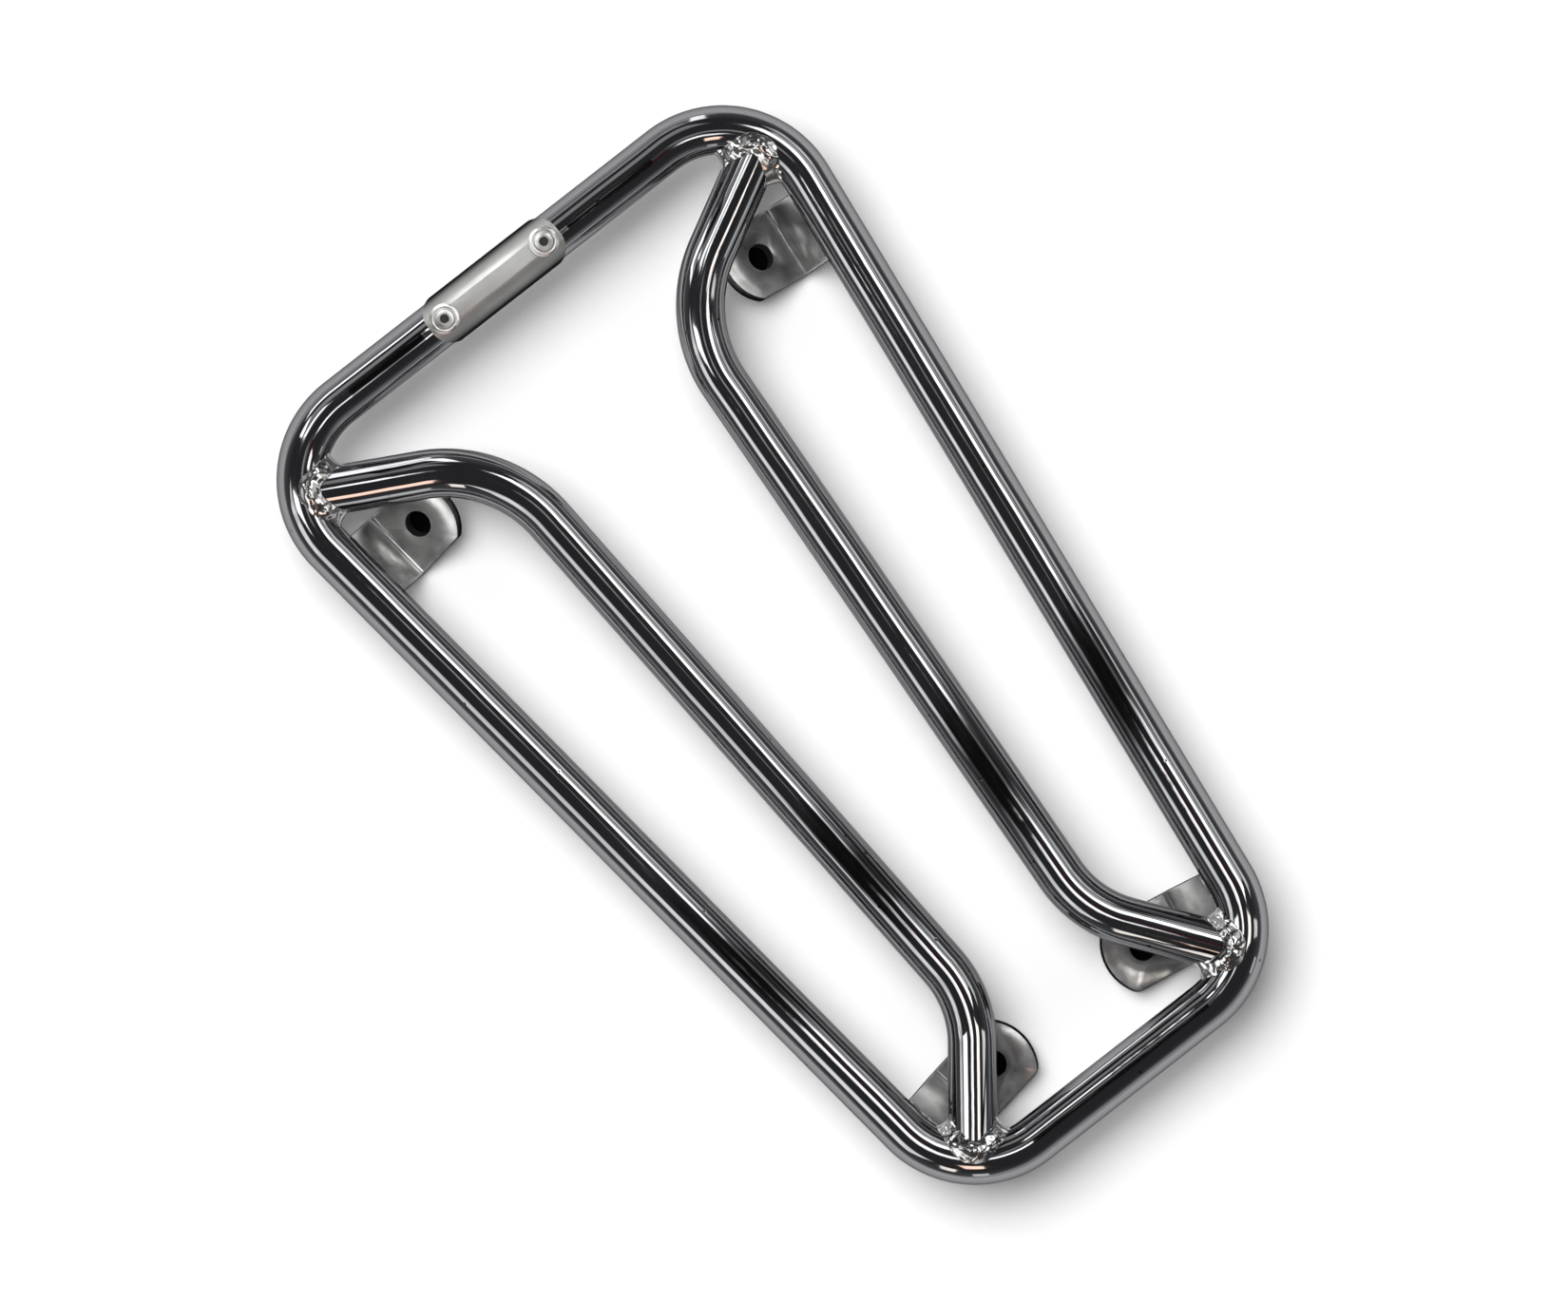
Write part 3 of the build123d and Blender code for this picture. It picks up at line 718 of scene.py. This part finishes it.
off_ring = add_node(tree, "ShaderNodeMath", {"operation": "SUBTRACT"}, {0: radius, 1: ring_radius_mm * MM})
off_ring = add_node(tree, "ShaderNodeMath", {"operation": "ABSOLUTE"}, {0: off_ring})
ring = add_node(tree, "ShaderNodeMapRange", {"interpolation_type": "SMOOTHSTEP"},
                {"Value": off_ring, "From Min": 0.0, "From Max": ring_width_mm * MM})
ring_bump = add_node(tree, "ShaderNodeBump", None,
                     {"Height": ring, "Strength": 1.0, "Distance": ring_depth_mm * MM})
rivet_tone = add_node(tree, "ShaderNodeMix", {"data_type": "RGBA"},
                      {"Factor": nicks.outputs["Fac"], "A": linear("#c4c4c2"), "B": linear("#e0e0de")})
rivet_roughness = add_node(tree, "ShaderNodeMapRange", None,
                           {"Value": nicks.outputs["Fac"], "From Min": 0.3, "From Max": 0.7,
                            "To Min": 0.3, "To Max": 0.4})
nick_bump = add_node(tree, "ShaderNodeBump", None,
                     {"Height": nicks.outputs["Fac"], "Strength": 0.4, "Distance": 0.006 * MM,
                      "Normal": ring_bump})
shader = add_node(tree, "ShaderNodeBsdfPrincipled", None,
                  {"Base Color": rivet_tone.outputs["Result"], "Metallic": 1.0,
                   "Roughness": rivet_roughness, "Normal": nick_bump})
add_node(tree, "ShaderNodeOutputMaterial", None, {"Surface": shader})
for side in ("left", "right"):
    finish_node("rivet_" + side, bright_rivet, RIVET_EDGE)

# Rivet mandrels: the steel pins that pulled the rivets up, snapped off inside the heads.
# Their broken ends are grainy, and painted dark as the shade down the rivets' holes.
dark_pin_finish, tree = new_material("snapped_steel_pin")
coords = add_node(tree, "ShaderNodeTexCoord").outputs["Object"]
break_mm = 0.6
broken = add_node(tree, "ShaderNodeTexNoise", None,
                  {"Vector": coords, "Scale": 1000 / break_mm, "Detail": 3.0})
# Painted shade: the pins' tone is held near black, for the shade down the rivets' holes.
pin_shade_tone = add_node(tree, "ShaderNodeMix", {"data_type": "RGBA"},
                    {"Factor": broken.outputs["Fac"], "A": linear("#2c2a28"), "B": linear("#6a6866")})
break_bump = add_node(tree, "ShaderNodeBump", None,
                      {"Height": broken.outputs["Fac"], "Strength": 0.8, "Distance": 0.1 * MM})
shader = add_node(tree, "ShaderNodeBsdfPrincipled", None,
                  {"Base Color": pin_shade_tone.outputs["Result"], "Metallic": 1.0, "Roughness": 0.35,
                   "Normal": break_bump})
add_node(tree, "ShaderNodeOutputMaterial", None, {"Surface": shader})
for side in ("left", "right"):
    finish_node("rivet_mandrel_" + side, dark_pin_finish, 0.0)

# Studio: the rack stands on a white floor under soft light from beyond its wide end.
# Light strips and dark gauzes that only mirrors see give the chrome its streaks.
# The camera looks straight down.
FLOOR_REACH = 3.0
floor_corners = [(x * FLOOR_REACH, y * FLOOR_REACH, 0) for x, y in ((-1, -1), (1, -1), (1, 1), (-1, 1))]
floor_mesh = bpy.data.meshes.new("floor")
floor_mesh.from_pydata(floor_corners, [], [(0, 1, 2, 3)])
floor = placed("floor", floor_mesh)
white_floor, tree = new_material("white_paper_floor")
shader = add_node(tree, "ShaderNodeBsdfDiffuse", None, {"Color": linear("#fafafa")})
add_node(tree, "ShaderNodeOutputMaterial", None, {"Surface": shader})
floor_mesh.materials.append(white_floor)

# The room has a pale horizon that reaches higher at the rack's two ends, dim walls and a darker ceiling.
# Heights and directions are parts of a unit vector. The camera sees plain white instead.
GLOW_LOW = 0.04
SIDE_GLOW_TOP = 0.18
END_GLOW_TOP = 0.5
END_STARTS = 0.75
END_FULL = 0.93
CEILING = 0.7
world = bpy.data.worlds.new("dim_room")
bpy.context.scene.world = world
world.use_nodes = True
tree = world.node_tree
tree.nodes.clear()
direction = add_node(tree, "ShaderNodeTexCoord").outputs["Object"]
direction = add_node(tree, "ShaderNodeSeparateXYZ", None, {0: direction}).outputs
height = direction["Z"]
lengthways = add_node(tree, "ShaderNodeMath", {"operation": "ABSOLUTE"}, {0: direction["Y"]})
glow_top = add_node(tree, "ShaderNodeMapRange", {"interpolation_type": "SMOOTHSTEP"},
                    {"Value": lengthways, "From Min": END_STARTS, "From Max": END_FULL,
                     "To Min": SIDE_GLOW_TOP, "To Max": END_GLOW_TOP})
low = add_node(tree, "ShaderNodeMapRange", {"interpolation_type": "SMOOTHSTEP"},
               {"Value": height, "From Min": GLOW_LOW, "From Max": glow_top, "To Min": 1.0, "To Max": 0.0})
high = add_node(tree, "ShaderNodeMapRange", {"interpolation_type": "SMOOTHSTEP"},
                {"Value": height, "From Min": SIDE_GLOW_TOP, "From Max": CEILING})
wall_tone = add_node(tree, "ShaderNodeMix", {"data_type": "RGBA"},
                     {"Factor": high, "A": linear("#6c6c6e"), "B": linear("#444446")})
room_tone = add_node(tree, "ShaderNodeMix", {"data_type": "RGBA"},
                     {"Factor": low, "A": wall_tone.outputs["Result"], "B": linear("#e6e6e6")})
seen = add_node(tree, "ShaderNodeLightPath").outputs["Is Camera Ray"]
backdrop = add_node(tree, "ShaderNodeMix", {"data_type": "RGBA"},
                    {"Factor": seen, "A": room_tone.outputs["Result"], "B": linear("#fafafa")})
room = add_node(tree, "ShaderNodeBackground", None, {"Color": backdrop.outputs["Result"], "Strength": 1.0})
add_node(tree, "ShaderNodeOutputWorld", None, {"Surface": room})

# Light cards and ceiling strips each lay one streak on the chrome. Their places are given as turns in
# degrees from straight up, and as metres along or across the rack.
STRIP_HEIGHT = 0.9
RUN_STRIP_DISTANCE = 2.0
RUN_STRIP_LENGTH = 0.25
CARD_SOFT_EDGE = 0.22
CARD_CLOUDS_PER_METRE = 7.0
UNDER = Vector((0, 0, -1))


def mirror_sheet(name, corners, material):
    """A flat sheet that only reflections see."""
    mesh = bpy.data.meshes.new(name)
    mesh.from_pydata(corners, [], [(0, 1, 2, 3)])
    mesh.uv_layers.new().data.foreach_set("uv", [0, 0, 1, 0, 1, 1, 0, 1])
    mesh.materials.append(material)
    sheet = placed(name, mesh)
    sheet.visible_camera = False
    sheet.visible_diffuse = False
    sheet.visible_shadow = False


def light_card(name, centre, target, width, length, brightness, along, colour="#ffffff", uneven=0.0):
    """A card of light, soft at its long edges, that faces a target with its long side along a direction."""
    glow, tree = new_material(name + "_glow")
    texture = add_node(tree, "ShaderNodeTexCoord").outputs
    place = add_node(tree, "ShaderNodeSeparateXYZ", None, {0: texture["UV"]}).outputs["X"]
    middle = add_node(tree, "ShaderNodeMath", {"operation": "PINGPONG"}, {0: place, 1: 0.5})
    fade = add_node(tree, "ShaderNodeMapRange", {"interpolation_type": "SMOOTHSTEP"},
                    {"Value": middle, "From Min": 0.0, "From Max": CARD_SOFT_EDGE})
    cloud = add_node(tree, "ShaderNodeTexNoise", None,
                     {"Vector": texture["Object"], "Scale": CARD_CLOUDS_PER_METRE, "Detail": 2.0})
    level = add_node(tree, "ShaderNodeMapRange", None,
                     {"Value": cloud.outputs["Fac"], "From Min": 0.35, "From Max": 0.65,
                      "To Min": brightness * (1 - uneven), "To Max": brightness})
    strength = add_node(tree, "ShaderNodeMath", {"operation": "MULTIPLY"}, {0: fade, 1: level})
    emission = add_node(tree, "ShaderNodeEmission", None, {"Color": linear(colour), "Strength": strength})
    add_node(tree, "ShaderNodeOutputMaterial", None, {"Surface": emission})
    along = Vector(along).normalized()
    facing = (target - centre).normalized()
    across = along.cross(facing).normalized() * (width / 2)
    along = along * (length / 2)
    corners = [centre - across - along, centre + across - along,
               centre + across + along, centre - across + along]
    mirror_sheet(name, corners, glow)


def long_strip(name, turns, ys, brightness, uneven=0.5, colour="#ffffff"):
    """A ceiling strip along the rack, between two turns in degrees from straight up towards -X."""
    near, far = (-STRIP_HEIGHT * tan(radians(t)) for t in turns)
    centre = Vector(((near + far) / 2, sum(ys) / 2, tube_height + STRIP_HEIGHT))
    light_card(name, centre, centre + UNDER, abs(far - near), ys[1] - ys[0], brightness,
               (0, 1, 0), colour, uneven)


def cross_strip(name, turns, seen_from, xs, brightness, uneven=0.3):
    """A ceiling strip across the rack, between two turns towards -Y from straight above a place along it."""
    near, far = (seen_from - STRIP_HEIGHT * tan(radians(t)) for t in turns)
    centre = Vector((sum(xs) / 2, (near + far) / 2, tube_height + STRIP_HEIGHT))
    light_card(name, centre, centre + UNDER, abs(far - near), xs[1] - xs[0], brightness,
               (1, 0, 0), uneven=uneven)


def run_strip(name, end, side, turns, brightness, colour="#ffffff"):
    """A strip over the splayed run of one rail, between two turns from straight up towards the wide end."""
    landing, rail_bend = rail_points(end)
    run = (rail_bend - landing).normalized()
    toward = Vector((run.y, -run.x, 0.0))
    toward *= -1.0 if toward.y > 0 else 1.0
    seen_from = (landing + rail_bend) / 2
    if side == "left":
        run, toward, seen_from = flipped([run, toward, seen_from])
    middle = radians(sum(turns) / 2)
    centre = seen_from + (toward * sin(middle) + Vector((0, 0, cos(middle)))) * RUN_STRIP_DISTANCE
    width = 2 * RUN_STRIP_DISTANCE * tan(radians(abs(turns[1] - turns[0])) / 2)
    light_card(name, centre, seen_from, width, RUN_STRIP_LENGTH, brightness, run, colour, uneven=0.3)


long_strip("main_strip", (24, 39), (-0.50, 0.33), 6.0, 0.3)
long_strip("main_strip_edge", (41, 47), (-0.50, 0.33), 2.2)
long_strip("left_panel", (49, 63), (-0.80, 0.60), 2.2, 0.6)
long_strip("crest_strip", (-4, 6), (-0.135, 0.02), 0.8, 0.9)
long_strip("right_panel", (-63, -40), (-0.80, 0.60), 2.8, 0.5)
long_strip("narrow_crest_strip", (-12, 3), (0.085, 0.19), 6.0, 0.5)
long_strip("narrow_warm_edge", (4, 9), (0.085, 0.19), 0.8, 0.5, "#8a2846")
cross_strip("wide_end_strip", (55, 65), wide_end_y, (0.04, 0.60), 5.0)
cross_strip("wide_end_panel", (55, 70), wide_end_y, (-0.60, -0.02), 1.1, 0.7)
cross_strip("narrow_end_strip", (25, 33), narrow_end_y, (-0.012, 0.045), 5.0)
cross_strip("narrow_end_panel", (40, 55), narrow_end_y, (-0.36, 0.36), 0.7, 0.3)
run_strip("wide_right_window", "wide", "right", (58, 84), 4.0)
run_strip("wide_right_lamp", "wide", "right", (-48, -31), 5.0, "#ffd9c4")
run_strip("wide_right_low", "wide", "right", (-84, -68), 1.8)
run_strip("wide_left_window", "wide", "left", (18, 52), 5.2)
run_strip("wide_left_low", "wide", "left", (-80, -68), 1.5)
run_strip("narrow_right_window", "narrow", "right", (20, 45), 5.2)
run_strip("narrow_right_lamp", "narrow", "right", (-35, -20), 5.2, "#fff6ee")
run_strip("narrow_right_low", "narrow", "right", (-66, -46), 2.6)
run_strip("narrow_left_lamp", "narrow", "left", (-68, -50), 3.6, "#fff6ee")

# Dark gauzes hang close above the ends and over the middle, and take the streaks out there.
# A small white board beyond the wide end lights the badge plate.
GAUZE_HEIGHT = 0.03
GAUZE_SOFT_EDGE = 0.4
GAUZE_RAG = 0.5
GAUZE_RAGS_PER_METRE = 45.0
BADGE_BOARD_REACH = 0.075
BADGE_BOARD_TURN = radians(42)
BADGE_BOARD_WIDTH = 0.052
BADGE_BOARD_INSET = 4 * MM


def dark_gauze(name, height, xs, ys, cover):
    """A level dark sheet that thins out softly towards its two long edges."""
    gauze, tree = new_material(name + "_weave")
    texture = add_node(tree, "ShaderNodeTexCoord").outputs
    place = add_node(tree, "ShaderNodeSeparateXYZ", None, {0: texture["UV"]}).outputs["Y"]
    wander = add_node(tree, "ShaderNodeTexNoise", None,
                      {"Vector": texture["Object"], "Scale": GAUZE_RAGS_PER_METRE, "Detail": 2.0})
    ragged = add_node(tree, "ShaderNodeMath", {"operation": "MULTIPLY_ADD"},
                      {0: wander.outputs["Fac"], 1: GAUZE_RAG, 2: -GAUZE_RAG / 2})
    edge = add_node(tree, "ShaderNodeMath", {"operation": "PINGPONG"}, {0: place, 1: 0.5})
    depth = add_node(tree, "ShaderNodeMath", {"operation": "ADD"}, {0: edge, 1: ragged})
    fade = add_node(tree, "ShaderNodeMapRange", {"interpolation_type": "SMOOTHSTEP"},
                    {"Value": depth, "From Min": 0.0, "From Max": GAUZE_SOFT_EDGE, "To Max": cover})
    clear = add_node(tree, "ShaderNodeBsdfTransparent")
    dark = add_node(tree, "ShaderNodeEmission", None, {"Color": linear("#1c1a1c"), "Strength": 1.0})
    mixed = add_node(tree, "ShaderNodeMixShader", None, {0: fade, 1: clear, 2: dark})
    add_node(tree, "ShaderNodeOutputMaterial", None, {"Surface": mixed})
    outline = ((xs[0], ys[0]), (xs[1], ys[0]), (xs[1], ys[1]), (xs[0], ys[1]))
    mirror_sheet(name, [(x, y, tube_height + height) for x, y in outline], gauze)


dark_gauze("wide_gauze_left", GAUZE_HEIGHT, (-0.062, -0.027), (wide_end_y - 0.004, wide_end_y + 0.016), 1.0)
dark_gauze("wide_gauze_right", GAUZE_HEIGHT, (0.032, 0.062), (wide_end_y - 0.016, wide_end_y + 0.016), 1.0)
dark_gauze("narrow_gauze", GAUZE_HEIGHT, (-0.036, 0.036), (narrow_end_y - 0.007, narrow_end_y + 0.006), 1.0)
dark_gauze("middle_gauze", 2 * GAUZE_HEIGHT, (-0.15, 0.10), (0.022, 0.098), 0.95)
badge_lo, badge_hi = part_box("badge_plate")
badge_middle = (badge_lo + badge_hi) / 2
board_way = Vector((0, -sin(BADGE_BOARD_TURN), cos(BADGE_BOARD_TURN)))
light_card("badge_board", badge_middle + board_way * BADGE_BOARD_REACH, badge_middle,
           BADGE_BOARD_WIDTH, badge_hi.x - badge_lo.x - BADGE_BOARD_INSET, 4.0, (1, 0, 0))

# Black pads lie on the floor under the bolt holes as painted shade, so that the holes look dark from above.
# Their specks are far too fine to show, and only set the tone.
SHADE_PAD_RADIUS = 6.5 * MM
SHADE_PAD_HEIGHT = 0.1 * MM
shade_pad_finish, tree = new_material("black_felt")
coords = add_node(tree, "ShaderNodeTexCoord").outputs["Object"]
pad_speck_mm = 0.02
pad_specks = add_node(tree, "ShaderNodeTexNoise", None,
                  {"Vector": coords, "Scale": 1000 / pad_speck_mm, "Detail": 2.0})
pad_tone = add_node(tree, "ShaderNodeMix", {"data_type": "RGBA"},
                     {"Factor": pad_specks.outputs["Fac"], "A": linear("#040404"), "B": linear("#101010")})
shader = add_node(tree, "ShaderNodeBsdfDiffuse", None, {"Color": pad_tone.outputs["Result"]})
add_node(tree, "ShaderNodeOutputMaterial", None, {"Surface": shader})
for name, mount in bolt_holes.items():
    x, y, _ = mount["pos_m"]
    disc = bmesh.new()
    bmesh.ops.create_circle(disc, cap_ends=True, segments=32, radius=SHADE_PAD_RADIUS)
    bmesh.ops.translate(disc, verts=disc.verts, vec=(x, y, SHADE_PAD_HEIGHT))
    pad = from_bmesh("felt_pad_" + name, disc)
    pad.data.materials.append(shade_pad_finish)

# Lamps: a broad soft sun and four large fill lamps round the rack, none of them seen in the chrome.
KEY_STRENGTH = 2.9
KEY_SPREAD = radians(41)
KEY_TURN = (radians(21), 0, radians(7))
FILL_STRENGTH = 3.6
FILL_SIZE = 1.2
FILL_DISTANCE = 2.2
FILL_TILT = radians(55)
key = bpy.data.lights.new("window_key", "SUN")
key.energy = KEY_STRENGTH
key.angle = KEY_SPREAD
key_object = placed("window_key", key)
key_object.rotation_euler = Euler(KEY_TURN)
key_object.visible_glossy = False

for number in range(4):
    fill = bpy.data.lights.new(f"side_fill_{number}", "AREA")
    fill.shape = "SQUARE"
    fill.size = FILL_SIZE
    fill.energy = FILL_STRENGTH
    fill_object = placed(fill.name, fill)
    fill_object.rotation_euler = Euler((FILL_TILT, 0, number * pi / 2))
    fill_object.location = fill_object.rotation_euler.to_matrix() @ Vector((0, 0, FILL_DISTANCE))
    fill_object.visible_glossy = False
    fill_object.visible_camera = False

# The camera hangs far above the rack, which is so seen almost without perspective.
CAMERA_DISTANCE = 6.0
FRAME_WIDTH = 507.7 * MM
FRAME_TURN = radians(142.1)
FRAME_MIDDLE = (2.1 * MM, -11.0 * MM)
camera = bpy.data.cameras.new("overhead_camera")
camera.sensor_width = 36.0
camera.lens = camera.sensor_width * CAMERA_DISTANCE / FRAME_WIDTH
camera_object = placed("overhead_camera", camera)
camera_object.location = (*FRAME_MIDDLE, tube_height + CAMERA_DISTANCE)
camera_object.rotation_euler = Euler((0, 0, FRAME_TURN))
bpy.context.scene.camera = camera_object
bpy.context.scene.view_settings.view_transform = "Standard"
